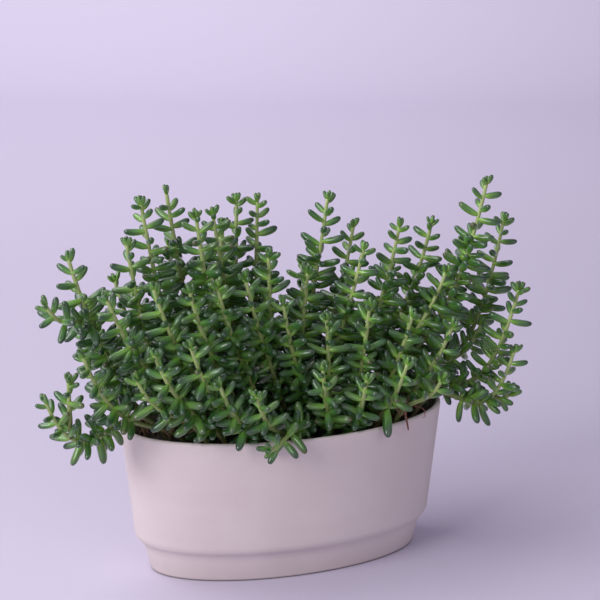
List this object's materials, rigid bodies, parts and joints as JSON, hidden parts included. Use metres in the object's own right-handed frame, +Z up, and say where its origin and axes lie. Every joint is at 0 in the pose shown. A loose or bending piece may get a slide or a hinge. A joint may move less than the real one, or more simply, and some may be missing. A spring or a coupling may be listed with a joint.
{
  "type": "potted stonecrop",
  "caption": "White stonecrop, a bushy succulent with short plump green leaves all round its stems, in an oval unglazed planter with a stepped foot.",
  "frame": {"origin": "middle of the planter's flat underside", "axes": "+X along the planter's long side, to the right of someone in front of it, +Y away from them, +Z up"},
  "size_m": [0.3164, 0.1492, 0.2338],
  "materials": {
    "bisque": "unglazed, matte, pinkish off-white",
    "earth": "dark crumbly potting soil",
    "leaf_green": "satin green leaves on light green stems"
  },
  "bodies": {
    "root": {"pot": "bisque", "soil": "earth", "front_shoot_01": "leaf_green", "front_shoot_02": "leaf_green", "front_shoot_03": "leaf_green", "front_shoot_04": "leaf_green", "front_shoot_05": "leaf_green", "front_shoot_06": "leaf_green", "front_shoot_07": "leaf_green", "front_shoot_08": "leaf_green", "front_shoot_09": "leaf_green", "front_shoot_10": "leaf_green", "near_shoot_01": "leaf_green", "near_shoot_02": "leaf_green", "near_shoot_03": "leaf_green", "near_shoot_04": "leaf_green", "near_shoot_05": "leaf_green", "near_shoot_06": "leaf_green", "near_shoot_07": "leaf_green", "near_shoot_08": "leaf_green", "near_shoot_09": "leaf_green", "near_shoot_10": "leaf_green", "near_shoot_11": "leaf_green", "near_shoot_12": "leaf_green", "near_shoot_13": "leaf_green", "middle_shoot_01": "leaf_green", "middle_shoot_02": "leaf_green", "middle_shoot_03": "leaf_green", "middle_shoot_04": "leaf_green", "middle_shoot_05": "leaf_green", "middle_shoot_06": "leaf_green", "middle_shoot_07": "leaf_green", "middle_shoot_08": "leaf_green", "middle_shoot_09": "leaf_green", "middle_shoot_10": "leaf_green", "middle_shoot_11": "leaf_green", "middle_shoot_12": "leaf_green", "middle_shoot_13": "leaf_green", "middle_shoot_14": "leaf_green", "far_shoot_01": "leaf_green", "far_shoot_02": "leaf_green", "far_shoot_03": "leaf_green", "far_shoot_04": "leaf_green", "far_shoot_05": "leaf_green", "far_shoot_06": "leaf_green", "far_shoot_07": "leaf_green", "far_shoot_08": "leaf_green", "far_shoot_09": "leaf_green", "far_shoot_10": "leaf_green", "far_shoot_11": "leaf_green", "far_shoot_12": "leaf_green", "far_shoot_13": "leaf_green", "back_shoot_01": "leaf_green", "back_shoot_02": "leaf_green", "back_shoot_03": "leaf_green", "back_shoot_04": "leaf_green", "back_shoot_05": "leaf_green", "back_shoot_06": "leaf_green", "back_shoot_07": "leaf_green", "back_shoot_08": "leaf_green"}
  },
  "joints": []
}
